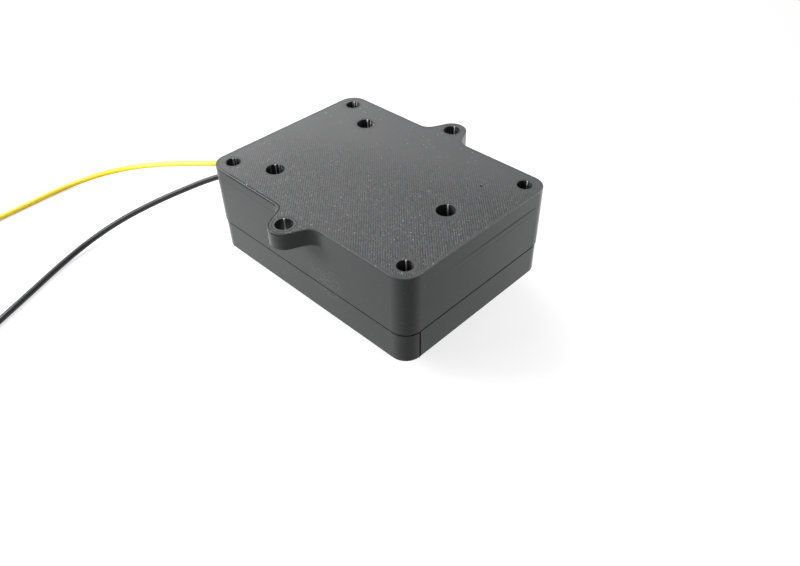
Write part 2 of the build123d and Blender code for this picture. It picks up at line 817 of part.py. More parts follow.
sub_parts = {
    "top_housing": top_housing(),
    "base_housing": base_housing(),
    "slide_rail": slide_rail(),
    "corner_screws": corner_screws(),
    "corner_inserts": corner_inserts(),
    "centre_screws": centre_screws(),
    "centre_inserts": centre_inserts(),
    "terminal_holder": terminal_holder(),
    "terminal_holder_screws": holder_fixings(),
    "positive_blade": terminal_blade(1),
    "negative_blade": terminal_blade(-1),
    "positive_blade_socket": blade_socket(1, 180),
    "negative_blade_socket": blade_socket(-1, 0),
    "lead_clamp": lead_clamp(),
    "lead_clamp_screws": clamp_screws(),
    "fuse_holder": fuse_holder(),
    "fuse_holder_screws": fuse_screws(),
    "fuse_input_clip": fuse_clip(1),
    "fuse_output_clip": fuse_clip(-1),
    "fuse_input_socket": fuse_socket(1),
    "fuse_output_socket": fuse_socket(-1),
    "blade_fuse": blade_fuse(),
    "fuse_jumper": fuse_jumper(),
    "yellow_inner_lead": yellow_inner_lead(),
    "black_inner_lead": black_inner_lead(),
}

for colour, route in routes.items():
    path, tail, direction = coil_path(route)
    sub_parts[colour + "_lead"] = tube(colour + "_lead", route, lead_radius)
    sub_parts[colour + "_lead_coil"] = lead_coil(colour + "_lead_coil", path)
    sub_parts[colour + "_tinned_end"] = tinned_end(tail, direction)

for name, piece in sub_parts.items():
    export_step(piece, f"parts/{name}.step")
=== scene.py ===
import json
import math
import random

import bmesh
import bpy
from mathutils import Matrix, Vector


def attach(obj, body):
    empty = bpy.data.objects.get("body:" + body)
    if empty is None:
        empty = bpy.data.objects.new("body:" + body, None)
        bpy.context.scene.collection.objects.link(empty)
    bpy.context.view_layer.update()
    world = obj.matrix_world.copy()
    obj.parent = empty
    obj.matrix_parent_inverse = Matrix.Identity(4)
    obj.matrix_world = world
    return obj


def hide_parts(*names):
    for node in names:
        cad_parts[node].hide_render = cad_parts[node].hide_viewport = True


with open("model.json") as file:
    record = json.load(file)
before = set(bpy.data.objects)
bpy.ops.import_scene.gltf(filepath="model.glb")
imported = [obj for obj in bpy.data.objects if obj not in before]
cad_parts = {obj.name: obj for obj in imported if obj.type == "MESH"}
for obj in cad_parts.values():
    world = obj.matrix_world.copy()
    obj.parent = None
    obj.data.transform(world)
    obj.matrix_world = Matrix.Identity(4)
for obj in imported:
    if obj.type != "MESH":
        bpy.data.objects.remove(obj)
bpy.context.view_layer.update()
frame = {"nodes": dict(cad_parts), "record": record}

MM = 0.001


# Camera

camera_place = (0.168067, -0.158131, 0.191806)
camera_right = (0.7195279, 0.69433556, -0.01333159)
camera_up = (-0.44845343, 0.47921099, 0.75448416)
camera_forward = (-0.53025383, 0.53689381, -0.65618284)
camera_lens = 32.96
camera_sensor = 36.0
camera_clip = 0.01


def make_camera():
    """The camera at the photograph's place and angle."""
    data = bpy.data.cameras.new("camera")
    data.sensor_fit = "HORIZONTAL"
    data.sensor_width = camera_sensor
    data.lens = camera_lens
    data.clip_start = camera_clip
    made = bpy.data.objects.new("camera", data)
    turn = Matrix((camera_right, camera_up, [-value for value in camera_forward])).transposed()
    made.matrix_world = Matrix.Translation(camera_place) @ turn.to_4x4()
    bpy.context.scene.collection.objects.link(made)
    bpy.context.scene.camera = made


make_camera()


# Leads, along the same routes as the solids, with their coils as more points of the same line

lead_diameter = 0.0025
coil_gap = 0.0006
coil_half_turns = 4
coil_across = 0.030
coil_tail_radius = 0.0075
points_per_half_turn = 8
steps_between_points = 8
steps_round_lead = 6

yellow_route = [
    (-0.05165, 0.0045, 0.0208),
    (-0.0620, 0.0045, 0.0208),
    (-0.0760, -0.0024, 0.0194),
    (-0.0924, -0.0126, 0.0162),
    (-0.1110, -0.0208, 0.0122),
    (-0.1270, -0.0284, 0.0080),
    (-0.1392, -0.0380, 0.0046),
    (-0.1470, -0.0506, 0.0022),
    (-0.1493, -0.0643, 0.00125),
    (-0.1483, -0.0785, 0.00125),
    (-0.1475, -0.0935, 0.00125),
    (-0.1472, -0.1090, 0.00125),
]
black_route = [
    (-0.05165, -0.0045, 0.0208),
    (-0.0610, -0.0045, 0.0208),
    (-0.0724, -0.0096, 0.0194),
    (-0.0822, -0.0186, 0.0166),
    (-0.0900, -0.0328, 0.0126),
    (-0.0964, -0.0466, 0.0086),
    (-0.1006, -0.0604, 0.0048),
    (-0.1002, -0.0760, 0.0021),
    (-0.0952, -0.0914, 0.00125),
    (-0.0884, -0.1060, 0.00125),
    (-0.0820, -0.1204, 0.00125),
    (-0.0760, -0.1334, 0.00125),
]


def arc_points(centre, start, turn, count):
    """Control points along an arc in plan, pushed out so that the smooth line keeps the arc's radius."""
    spoke = start - centre
    swell = 1 / math.cos(turn / count / 2)
    points = []
    for number in range(count):
        angle = turn * (number + 0.5) / count
        points.append(centre + (Matrix.Rotation(angle, 3, "Z") @ spoke) * swell)
    return points


def coil_points(route):
    """A flat spiral of half turns that winds inwards from the end of a route, and then its short tail."""
    end, before = Vector(route[-1]), Vector(route[-2])
    heading = Vector((end.x - before.x, end.y - before.y, 0)).normalized()
    inward = Matrix.Rotation(-math.pi / 2, 3, "Z") @ heading
    pitch = lead_diameter + coil_gap
    outer = coil_across / 2 + pitch * (coil_half_turns - 1) / 4
    place = end + heading * lead_diameter
    points = []
    for number in range(coil_half_turns):
        radius = outer - number * pitch / 2
        points += arc_points(place + inward * radius, place, -math.pi, points_per_half_turn)
        place, heading, inward = place + inward * (2 * radius), -heading, -inward
    centre = place + inward * coil_tail_radius
    points += arc_points(centre, place, -math.pi / 2, points_per_half_turn // 2)
    last = centre + heading * coil_tail_radius
    return points + [last, last + inward * lead_diameter]


def make_lead(colour, route):
    """One free lead as a smooth round curve to its tinned end, its radius kept on its points."""
    points = [Vector(point) for point in route] + coil_points(route)
    data = bpy.data.curves.new(colour + "_free_lead", "CURVE")
    data.dimensions = "3D"
    data.resolution_u = steps_between_points
    data.bevel_depth = 1.0
    data.bevel_resolution = steps_round_lead
    data.use_fill_caps = True
    spline = data.splines.new("NURBS")
    spline.points.add(len(points) - 1)
    for slot, point in zip(spline.points, points):
        slot.co = (*point, 1)
        slot.radius = lead_diameter / 2
    spline.order_u = 3
    spline.use_endpoint_u = True
    made = bpy.data.objects.new(colour + "_free_lead", data)
    bpy.context.scene.collection.objects.link(made)
    return made


leads = {}
for colour, route in (("yellow", yellow_route), ("black", black_route)):
    lead = make_lead(colour, route)
    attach(lead, "root")
    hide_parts(colour + "_lead", colour + "_lead_coil")
    leads[colour] = lead


# The housing's own sizes in millimetres, which its print seam, the painted highlights in its bores and its
# texture follow

housing_half = (51.65, 37.75)
housing_corner = 6.65
ear_middle = 43.15
ear_radius = 5.8
ear_slope = math.radians(25.0)
ear_flow = 4.0
top_level = 45.2
base_level = 8.0
base_wall_x = 51.35
lip_level = 20.4
shadow_line = 20.28
corner_bore = {"radius": 2.85, "seat": 27.8}
centre_bore = {"radius": 3.6, "seat": 28.5}
ear_bore = {"radius": 3.3, "seat": 38.6}
corner_bore_x, corner_bore_y = 45.0, 31.1
centre_bore_places = ((-29.25, -23.5), (-29.25, 23.5), (34.7, 0.0))
bores = [((end * corner_bore_x, side * corner_bore_y), corner_bore) for end in (-1, 1) for side in (-1, 1)]
bores += [(place, centre_bore) for place in centre_bore_places]
bores += [((0.0, side * ear_middle), ear_bore) for side in (-1, 1)]


# Printing leaves rough upright seams on the walls, where each layer starts and ends, such as the one up the
# base's front corner. The pale ridges in the bores are painted highlights on their rough walls, turned with
# each bore's place to where the highlight falls as seen from the camera.

seam_rings = 22
seam_sides = 6
seam_wobble = 0.35
# The bores' ridges turn with each bore's place, to where the painted highlight falls as seen from the
# camera.
highlight_angle = 126.0
highlight_angle_by_x = -0.22
highlight_angle_by_y = -0.35
bore_highlight_ridges = ({"beside": -22.0, "thickness": 0.14}, {"beside": 0.0, "thickness": 0.28})
rough_bores_below_x = -20.0
corner_seam_radius = 0.12


def add_ridge(mesh, x, y, thickness, inward, low, high, rng):
    """One upright ridge, half sunk in its wall, that swells and shrinks from layer to layer."""
    rings = []
    for number in range(seam_rings + 1):
        z = low + (high - low) * number / seam_rings
        radius = thickness * (1 + seam_wobble * rng.uniform(-1, 1))
        ring = []
        for side in range(seam_sides + 1):
            angle = inward + math.pi * (side / seam_sides - 0.5)
            point = Vector((x + radius * math.cos(angle), y + radius * math.sin(angle), z)) * MM
            ring.append(mesh.verts.new(point))
        rings.append(ring)
    for lower, upper in zip(rings, rings[1:]):
        for side in range(seam_sides):
            mesh.faces.new((lower[side], lower[side + 1], upper[side + 1], upper[side]))
        mesh.faces.new((lower[seam_sides], lower[0], upper[0], upper[seam_sides]))
    mesh.faces.new(rings[0][::-1])
    mesh.faces.new(rings[-1])


def ridge_piece(name, mesh):
    """A finished mesh of ridges as a piece of the scene that belongs to the housing."""
    data = bpy.data.meshes.new(name)
    mesh.to_mesh(data)
    mesh.free()
    made = bpy.data.objects.new(name, data)
    bpy.context.scene.collection.objects.link(made)
    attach(made, "root")
    return made


def make_bore_highlight_ridges():
    """Pale ridges on the wall of every bore, for painted highlights: two where the print is rough, and the
    thick one elsewhere.
    """
    rng = random.Random(7)
    mesh = bmesh.new()
    for (x, y), bore in bores:
        angle = highlight_angle + highlight_angle_by_x * x + highlight_angle_by_y * y
        for seam in bore_highlight_ridges:
            if x > rough_bores_below_x and seam["beside"]:
                continue
            spoke = math.radians(angle + seam["beside"])
            wall_x = x + bore["radius"] * math.cos(spoke)
            wall_y = y + bore["radius"] * math.sin(spoke)
            inward = spoke + math.pi
            add_ridge(mesh, wall_x, wall_y, seam["thickness"], inward, bore["seat"], top_level, rng)
    return ridge_piece("bore_highlight_ridges", mesh)


def make_corner_seam():
    """The seam up the front corner of the base."""
    mesh = bmesh.new()
    y = housing_corner - housing_half[1]
    add_ridge(mesh, base_wall_x, y, corner_seam_radius, 0.0, base_level, lip_level, random.Random(3))
    return ridge_piece("corner_seam", mesh)


bore_highlight_piece = make_bore_highlight_ridges()
corner_seam_piece = make_corner_seam()


# Materials


class Graph:
    """A material's node tree, with short calls for the nodes that the materials here need."""

    def __init__(self, name):
        self.material = bpy.data.materials.new(name)
        self.material.use_nodes = True
        self.tree = self.material.node_tree
        self.tree.nodes.clear()
        self.place = self.node("ShaderNodeTexCoord").outputs["Object"]
        self.normal = self.node("ShaderNodeNewGeometry").outputs["True Normal"]

    def node(self, kind, **settings):
        made = self.tree.nodes.new(kind)
        for name, value in settings.items():
            setattr(made, name, value)
        return made

    def feed(self, socket, value):
        """Links an output to a socket, or sets a constant on it."""
        if isinstance(value, bpy.types.NodeSocket):
            self.tree.links.new(value, socket)
        else:
            socket.default_value = value

    def math(self, operation, *values, clamp=False):
        made = self.node("ShaderNodeMath", operation=operation, use_clamp=clamp)
        for socket, value in zip(made.inputs, values):
            self.feed(socket, value)
        return made.outputs[0]

    def add(self, *values):
        total = values[0]
        for value in values[1:]:
            total = self.math("ADD", total, value)
        return total

    def times(self, *values):
        total = values[0]
        for value in values[1:]:
            total = self.math("MULTIPLY", total, value)
        return total

    def vector(self, operation, *values):
        made = self.node("ShaderNodeVectorMath", operation=operation)
        for socket, value in zip(made.inputs, values):
            self.feed(socket, value)
        gives_number = operation in ("LENGTH", "DISTANCE", "DOT_PRODUCT")
        return made.outputs["Value"] if gives_number else made.outputs[0]

    def parts(self, vector):
        made = self.node("ShaderNodeSeparateXYZ")
        self.feed(made.inputs[0], vector)
        return made.outputs

    def join(self, x, y, z):
        made = self.node("ShaderNodeCombineXYZ")
        for socket, value in zip(made.inputs, (x, y, z)):
            self.feed(socket, value)
        return made.outputs[0]

    def stretched(self, x, y, z):
        """The place in the object with each axis scaled by itself."""
        return self.vector("MULTIPLY", self.place, (x, y, z))

    def noise(self, vector, scale=1.0, detail=2.0):
        made = self.node("ShaderNodeTexNoise")
        self.feed(made.inputs["Vector"], vector)
        self.feed(made.inputs["Scale"], scale)
        self.feed(made.inputs["Detail"], detail)
        return made.outputs[0]

    def cells(self, vector, scale):
        """Scattered points: the distance to the nearest and its own random colour."""
        made = self.node("ShaderNodeTexVoronoi")
        self.feed(made.inputs["Vector"], vector)
        self.feed(made.inputs["Scale"], scale)
        return made.outputs["Distance"], self.parts(made.outputs["Color"])

    def ease(self, value, low, high, start=0.0, end=1.0):
        """A smooth step from start to end while the value goes from low to high."""
        made = self.node("ShaderNodeMapRange", interpolation_type="SMOOTHSTEP")
        for name, number in (("From Min", low), ("From Max", high), ("To Min", start), ("To Max", end)):
            self.feed(made.inputs[name], number)
        self.feed(made.inputs["Value"], value)
        return made.outputs[0]

    def blend(self, factor, first, second):
        """A colour between two colours."""
        made = self.node("ShaderNodeMix", data_type="RGBA")
        self.feed(made.inputs["Factor"], factor)
        self.feed(made.inputs[6], first)
        self.feed(made.inputs[7], second)
        return made.outputs[2]

    def between(self, factor, first, second):
        """A number between two numbers."""
        made = self.node("ShaderNodeMix", data_type="FLOAT")
        self.feed(made.inputs[0], factor)
        self.feed(made.inputs[2], first)
        self.feed(made.inputs[3], second)
        return made.outputs[0]

    def bump(self, height, depth):
        """Relief from a height between 0 and 1 that stands for a depth in metres."""
        made = self.node("ShaderNodeBump")
        made.inputs["Strength"].default_value = 1.0
        made.inputs["Distance"].default_value = depth
        self.feed(made.inputs["Height"], height)
        return made.outputs[0]

    def finish(self, **inputs):
        """A surface shader with these inputs, by the socket's name with its spaces as underscores."""
        shader = self.node("ShaderNodeBsdfPrincipled")
        for name, value in inputs.items():
            self.feed(shader.inputs[name.replace("_", " ")], value)
        output = self.node("ShaderNodeOutputMaterial")
        self.tree.links.new(shader.outputs[0], output.inputs[0])
        return self.material


# Printed plastic. Its texture is worked out in millimetres, from the housing's own outline.
# Where four numbers describe a smooth step, they are its start and end, and the values before and after.

plastic_ior = 1.26
layer_height = 0.2
strand_width = 0.4
soft_step = (0.35, 0.65)
facing_step = (0.8, 0.95)


def outline_distance(g, x, y):
    """How far inside the housing's outline a place in plan is, and how far from the nearest bore."""
    across_x = g.math("SUBTRACT", g.math("ABSOLUTE", x), housing_half[0] - housing_corner)
    across_y = g.math("SUBTRACT", g.math("ABSOLUTE", y), housing_half[1] - housing_corner)
    beyond = g.join(g.math("MAXIMUM", across_x, 0.0), g.math("MAXIMUM", across_y, 0.0), 0.0)
    within = g.math("MINIMUM", g.math("MAXIMUM", across_x, across_y), 0.0)
    box = g.math("SUBTRACT", g.add(g.vector("LENGTH", beyond), within), housing_corner)
    ear_place = g.join(g.math("ABSOLUTE", x), g.math("SUBTRACT", g.math("ABSOLUTE", y), ear_middle), 0.0)
    past_touch = g.vector("DOT_PRODUCT", ear_place, (math.sin(ear_slope), -math.cos(ear_slope), 0.0))
    to_flank = g.vector("DOT_PRODUCT", ear_place, (math.cos(ear_slope), math.sin(ear_slope), 0.0))
    ear = g.between(g.math("GREATER_THAN", past_touch, 0.0), g.vector("LENGTH", ear_place), to_flank)
    ear = g.math("SUBTRACT", ear, ear_radius)
    outside = g.math("SMOOTH_MIN", box, ear, ear_flow)
    flat = g.join(x, y, 0.0)
    nearest = None
    for place, bore in bores:
        away = g.math("SUBTRACT", g.vector("DISTANCE", flat, (*place, 0.0)), bore["radius"])
        nearest = away if nearest is None else g.math("MINIMUM", nearest, away)
    return g.times(outside, -1.0), nearest


def ridges(g, distance, width):
    """Rounded strands side by side: 0 in the grooves and 1 on the crests."""
    return g.math("ABSOLUTE", g.math("SINE", g.times(distance, math.pi / width)))


def line_at(g, level, value, half):
    """A mark where a value is near a level: 1 on it, 0 from its half width on, with soft edges."""
    away = g.math("ABSOLUTE", g.math("SUBTRACT", value, level))
    return g.ease(away, g.times(half, 0.5), half, 1.0, 0.0)


outline_strands = 3
outline_blur = 0.05
outline_shade = 0.42
wander = {"scale": 0.15, "share": 0.25}
knit_scale = {"along": 0.6, "across": 1.6}
# Where the strands' relief and their painted highlight and shade show most: towards the front and the
# right.
strand_contrast_to_front = {"x_share": 0.3, "step": (-25.0, 5.0, 0.1, 1.0)}
strand_contrast_to_right = (-54.0, -22.0, 0.25, 1.0)
glint_scale = 2.6
strand_relief = 0.6
weave_relief = 1.2


def top_texture(g, millimetres, x, y, edge):
    """The top's relief and how pale it is: strands along its edges, and slanting ones between them. How
    pale it is stands for painted highlight and shade on the strands, with painted glints.
    """
    strayed = g.times(g.noise(millimetres, wander["scale"], 2.0), wander["share"])
    diagonal = g.add(g.times(g.add(x, y), math.sqrt(0.5)), strayed)
    border = outline_strands * strand_width
    near_edge = g.ease(edge, border - outline_blur, border + outline_blur, 1.0, 0.0)
    pair = g.math("SINE", g.times(diagonal, math.pi / strand_width))
    along = g.times(g.math("SUBTRACT", x, y), knit_scale["along"])
    across = g.times(g.add(x, y), knit_scale["across"])
    knit = g.ease(g.noise(g.join(along, across, 0.0), 1.0, 2.0), *soft_step)
    # How strongly the strands' relief and their painted highlight and shade show.
    to_front = g.math("SUBTRACT", g.times(x, strand_contrast_to_front["x_share"]), y)
    strand_contrast = g.times(g.ease(to_front, *strand_contrast_to_front["step"]), g.ease(x, *strand_contrast_to_right))
    weave = g.math("MULTIPLY_ADD", g.times(pair, knit, strand_contrast), 0.5, 0.5)
    # Painted glints on the strands.
    grain = g.ease(g.noise(millimetres, glint_scale, 1.0), *soft_step)
    strands = g.add(
        g.times(ridges(g, diagonal, strand_width), strand_relief),
        g.times(weave, weave_relief),
    )
    relief = g.between(near_edge, strands, ridges(g, edge, strand_width))
    # Painted highlight and shade of the strands, broken up by the painted glints.
    pale = g.times(weave, g.between(g.times(g.math("SUBTRACT", 1.0, grain), strand_contrast), 1.0, 0.5))
    return relief, g.between(near_edge, pale, outline_shade)


rim_opens = (-49.0, -36.0, 0.0, 0.7)
rim_closes = (-4.0, 14.0, 1.0, 0.15)
rim_groove = {"inside": 0.55, "half": 0.32}
bore_groove = {"outside": 0.9, "half": 0.3, "share": 0.5}
near_side = (-34.0, -31.0, 1.0, 0.0)


def rim_share(g, x):
    """How strong the painted shade by the rim is along the -Y side: from the left corner to just past the
    ear.
    """
    return g.times(g.ease(x, *rim_opens), g.ease(x, *rim_closes))


def rim_groove_shade(g, x, y, inside):
    """Painted shade in the open grooves in the top beside its rim and round the ear's bore, on the -Y side.
    """
    from_ear = g.vector("DISTANCE", g.join(x, y, 0.0), (0.0, -ear_middle, 0.0))
    groove_shade_by_rim = g.times(line_at(g, rim_groove["inside"], inside, rim_groove["half"]), rim_share(g, x))
    bore_line = line_at(g, ear_bore["radius"] + bore_groove["outside"], from_ear, bore_groove["half"])
    groove_shade_by_bore = g.times(bore_line, bore_groove["share"])
    return g.times(g.math("MAXIMUM", groove_shade_by_rim, groove_shade_by_bore), g.ease(y, *near_side))


# Painted shadow under the lip, and painted shade beside the corner seam.
shadow_half = (0.36, 0.55)
corner_shade_line = {"beside": 0.35, "half": 0.45, "blur": 0.1}
east_lines = ({"below": 6.2, "half": 0.45, "share": 0.5}, {"below": 8.7, "half": 0.3, "share": 0.3})
east_starts_x = (50.5, 51.2)
east_starts_y = (-24.0, 10.0)
east_ends_y = (27.0, 32.0, 1.0, 0.0)
south_line = {"below": 4.3, "half": 0.25, "ends": (-8.0, 2.0, 0.2, 0.0)}
# Painted shade under the rim.
rim_shade_line = {"below": 0.6, "half": 0.34}


def wall_shade_and_marks(g, x, y, z, facing_x, south):
    """Marks on the walls: painted shadow under the lip, painted shade beside the corner seam and under the
    rim, and faint ones where a layer moved.
    """
    # Painted shadow under the lip of the joint.
    shadow_under_lip = line_at(g, shadow_line, z, g.between(facing_x, *shadow_half))
    # Painted shade beside the corner seam.
    shade_beside_seam = g.times(
        line_at(g, housing_corner - housing_half[1] + corner_shade_line["beside"], y, corner_shade_line["half"]),
        g.ease(z, lip_level - corner_shade_line["blur"], lip_level, 1.0, 0.0),
        facing_x,
    )
    east = g.times(g.ease(x, *east_starts_x), g.ease(y, *east_starts_y), g.ease(y, *east_ends_y), facing_x)
    marks = []
    for line in east_lines:
        marks.append(g.times(line_at(g, top_level - line["below"], z, line["half"]), east, line["share"]))
    low_line = line_at(g, top_level - south_line["below"], z, south_line["half"])
    marks.append(g.times(low_line, south, g.ease(x, *south_line["ends"])))
    # Painted shade under the rim.
    under_rim_shade = line_at(g, top_level - rim_shade_line["below"], z, rim_shade_line["half"])
    marks.append(g.times(under_rim_shade, south, rim_share(g, x)))
    return g.math("MAXIMUM", g.math("MAXIMUM", shadow_under_lip, shade_beside_seam), g.add(*marks))


dust_to_front = {"x_share": 0.6, "step": (-10.0, 62.0, 0.015, 1.0)}
clump_scale = 0.12
clump_step = (0.45, 0.65)
speck = {"scale": 0.42, "size": (0.045, 0.115, 1.0, 0.0), "rarity": (0.985, 0.25), "shade": (0.3, 1.0)}
haze = {"scale": 1.1, "size": (0.1, 0.32, 1.0, 0.0), "rarity": (0.92, 0.5), "shade": (0.2, 0.6)}


def dust_specks(g, millimetres, x, y):
    """Small pale specks in clumps, thicker towards the front, and a soft haze of finer ones."""
    to_front = g.math("SUBTRACT", g.times(x, dust_to_front["x_share"]), y)
    to_front = g.ease(to_front, *dust_to_front["step"])
    clumps = g.ease(g.noise(millimetres, clump_scale, 3.0), *clump_step)
    near, own = g.cells(millimetres, speck["scale"])
    limit = g.between(g.times(to_front, g.add(clumps, 0.5)), *speck["rarity"])
    rare = g.math("GREATER_THAN", own[0], limit)
    specks = g.times(g.ease(near, *speck["size"]), rare, g.between(own[1], *speck["shade"]))
    fine_near, fine_own = g.cells(millimetres, haze["scale"])
    fine_rare = g.math("GREATER_THAN", fine_own[1], g.between(to_front, *haze["rarity"]))
    fine = g.times(g.ease(fine_near, *haze["size"]), fine_rare, fine_own[2])
    return g.math("MAXIMUM", specks, g.times(fine, g.between(clumps, *haze["shade"])), clamp=True)


scuffed = {"place": (12.7, 24.5), "fades": (2.0, 12.0, 0.17, 0.0), "scale": 3.0, "grain": (0.56, 0.72)}
fleck_place = (34.0, 19.85)
fleck_step = (0.4, 0.8, 0.8, 0.0)


def scuffs(g, millimetres, x, z, south):
    """A patch of fine pale scuffs on the -Y wall, past the ear."""
    away = g.vector("DISTANCE", g.join(x, z, 0.0), (*scuffed["place"], 0.0))
    fine = g.ease(g.noise(millimetres, scuffed["scale"], 2.0), *scuffed["grain"])
    return g.times(fine, g.ease(away, *scuffed["fades"]), south)


def fleck(g, x, y):
    """The one dark fleck on the top."""
    away = g.vector("DISTANCE", g.join(x, y, 0.0), (*fleck_place, 0.0))
    return g.ease(away, *fleck_step)


wall_colours = ((0.040, 0.041, 0.042, 1), (0.048, 0.049, 0.050, 1))
# The top's dark and pale strands: painted shade and highlight on the black plastic.
top_colours = ((0.002, 0.002, 0.003, 1), (0.180, 0.182, 0.186, 1))
# The bores' own colour, and the paler painted light on their walls.
bore_colours_and_light = ((0.045, 0.045, 0.047, 1), (0.30, 0.30, 0.305, 1))
# Black for the painted shade and the dark marks.
shade_and_mark_colour = (0.003, 0.003, 0.003, 1)
dust_colour = (0.78, 0.78, 0.78, 1)
white = (1.0, 1.0, 1.0, 1)
black = (0.0, 0.0, 0.0, 1)
flat_step = (0.6, 0.8)
relief_depth = 0.05
relief_starts = (top_level - 1.0, top_level - 0.6)
layer_relief = 0.12
drift_relief = 0.06
drift_stretch = (5.0, 5.0, 1100.0)
streak_stretch = (900.0, 900.0, 50.0)
streak_step = (0.52, 0.68)
streaks_fade = (rough_bores_below_x, rough_bores_below_x + 5.0, 1.0, 0.15)
bore_reach = (0.05, 0.3, 1.0, 0.0)
patch_scale = 0.05
wall_roughness = (0.24, 0.28)
top_roughness = (0.40, 0.48)
rounded_roughness = 0.44
rounded_starts = (0.08, 0.2)
rounded_ends = (0.85, 0.96, 1.0, 0.0)
dust_roughness = 0.7
dust_on_walls = 0.1


def printed_plastic():
    """The printed plastic: strands on the top, layers on the walls, and the marks and dust on both, with
    painted highlight and shade on the top's strands, painted light in the bores, and painted shade in
    grooves, under the lip and under the rim.
    """
    g = Graph("printed_plastic")
    millimetres = g.vector("SCALE", g.place)
    g.feed(millimetres.node.inputs["Scale"], 1 / MM)
    x, y, z = g.parts(millimetres)
    normal_x, normal_y, normal_z = g.parts(g.normal)
    steep = g.math("ABSOLUTE", normal_z)
    flat = g.ease(steep, *flat_step)
    upright = g.math("SUBTRACT", 1.0, flat)
    facing_x = g.ease(normal_x, *facing_step)
    south = g.ease(g.times(normal_y, -1.0), *facing_step)
    inside, from_bore = outline_distance(g, x, y)
    top_relief, pale = top_texture(g, millimetres, x, y, g.math("MINIMUM", inside, from_bore))

    drift = g.noise(g.stretched(*drift_stretch), 1.0, 2.0)
    wall_relief = g.add(g.times(ridges(g, z, layer_height), layer_relief), g.times(drift, drift_relief))
    relief = g.between(flat, wall_relief, g.times(top_relief, g.ease(z, *relief_starts)))
    # Painted shade in the grooves by the rim and the ear's bore, and the dark fleck.
    grooves = g.times(g.math("MAXIMUM", rim_groove_shade(g, x, y, inside), fleck(g, x, y)), flat)
    # Painted shade under the lip, beside the corner seam and under the rim, and the layer marks.
    marks = g.times(wall_shade_and_marks(g, x, y, z, facing_x, south), upright)
    # The painted shade and the dark marks together.
    shade_and_marks = g.math("MAXIMUM", grooves, marks, clamp=True)
    dust = g.times(dust_specks(g, millimetres, x, y), g.between(flat, dust_on_walls, 1.0))
    dust = g.math("MAXIMUM", dust, scuffs(g, millimetres, x, z, south))

    # Pale upright streaks in the bores: painted light on their walls, strongest in the bores on the left.
    bore_light_streaks = g.ease(g.noise(g.stretched(*streak_stretch), 1.0, 2.0), *streak_step)
    bore_light_streaks = g.times(bore_light_streaks, g.ease(x, *streaks_fade))
    in_bore = g.ease(g.math("ABSOLUTE", from_bore), *bore_reach)
    sides = g.blend(in_bore, g.blend(drift, *wall_colours), g.blend(bore_light_streaks, *bore_colours_and_light))
    # The top's colour carries the strands' painted highlight and shade.
    base = g.blend(flat, sides, g.blend(pale, *top_colours))
    base = g.blend(shade_and_marks, base, shade_and_mark_colour)
    patches = g.noise(millimetres, patch_scale, 3.0)
    rough = g.between(flat, g.between(drift, *wall_roughness), g.between(patches, *top_roughness))
    rounded = g.times(g.ease(steep, *rounded_starts), g.ease(steep, *rounded_ends))
    rough = g.between(rounded, rough, rounded_roughness)
    return g.finish(
        Base_Color=g.blend(dust, base, dust_colour),
        # Metallic with a black Specular Tint takes all reflection out of the painted shade and the dark
        # marks.
        Metallic=shade_and_marks,
        Specular_Tint=g.blend(shade_and_marks, white, black),
        Roughness=g.math("MAXIMUM", rough, g.times(dust, dust_roughness)),
        Normal=g.bump(relief, relief_depth * MM),
        IOR=plastic_ior,
    )


seam_stretch = (1500.0, 1500.0, 2500.0)
seam_roughness = (0.25, 0.45)
seam_relief = 0.03
# Pale shades on the bores' ridges: painted highlights.
bore_highlight_look = {"colours": ((0.55, 0.55, 0.555, 1), (0.95, 0.95, 0.96, 1)), "ior": 1.5}
corner_seam_look = {"colours": ((0.02, 0.02, 0.02, 1), (0.06, 0.06, 0.06, 1)), "ior": plastic_ior}


def seam_and_highlight_plastic(name, colours, ior):
    """The same plastic on the rough seams of the print, in blobs of two shades. On the bores' ridges the
    pale shades are painted highlights.
    """
    g = Graph(name)
    blobs = g.noise(g.stretched(*seam_stretch), 1.0, 2.0)
    return g.finish(
        Base_Color=g.blend(blobs, *colours),
        Roughness=g.between(blobs, *seam_roughness),
        Normal=g.bump(blobs, seam_relief * MM),
        IOR=ior,
    )


moulded_colours = ((0.022, 0.022, 0.023, 1), (0.034, 0.034, 0.035, 1))
moulded_roughness = (0.48, 0.60)
moulded_relief = 0.02
moulded_grain = (4500.0, 4500.0, 4500.0)
moulded_patches = (120.0, 120.0, 120.0)


def moulded_plastic():
    """Fine spark-eroded moulding, for the terminal and fuse holders."""
    g = Graph("moulded_plastic")
    grain = g.noise(g.stretched(*moulded_grain), 1.0, 2.0)
    patches = g.noise(g.stretched(*moulded_patches), 1.0, 2.0)
    return g.finish(
        Base_Color=g.blend(patches, *moulded_colours),
        Roughness=g.between(patches, *moulded_roughness),
        Normal=g.bump(grain, moulded_relief * MM),
    )


fuse_colours = ((0.04, 0.30, 0.08, 1), (0.06, 0.40, 0.12, 1))
fuse_roughness = (0.12, 0.2)
fuse_swirl = (300.0, 300.0, 300.0)


def fuse_plastic():
    """Clear coloured moulding, for the blade fuse."""
    g = Graph("fuse_plastic")
    swirl = g.noise(g.stretched(*fuse_swirl), 1.0, 2.0)
    return g.finish(
        Base_Color=g.blend(swirl, *fuse_colours),
        Roughness=g.between(swirl, *fuse_roughness),
        Transmission_Weight=0.35,
        IOR=1.5,
    )


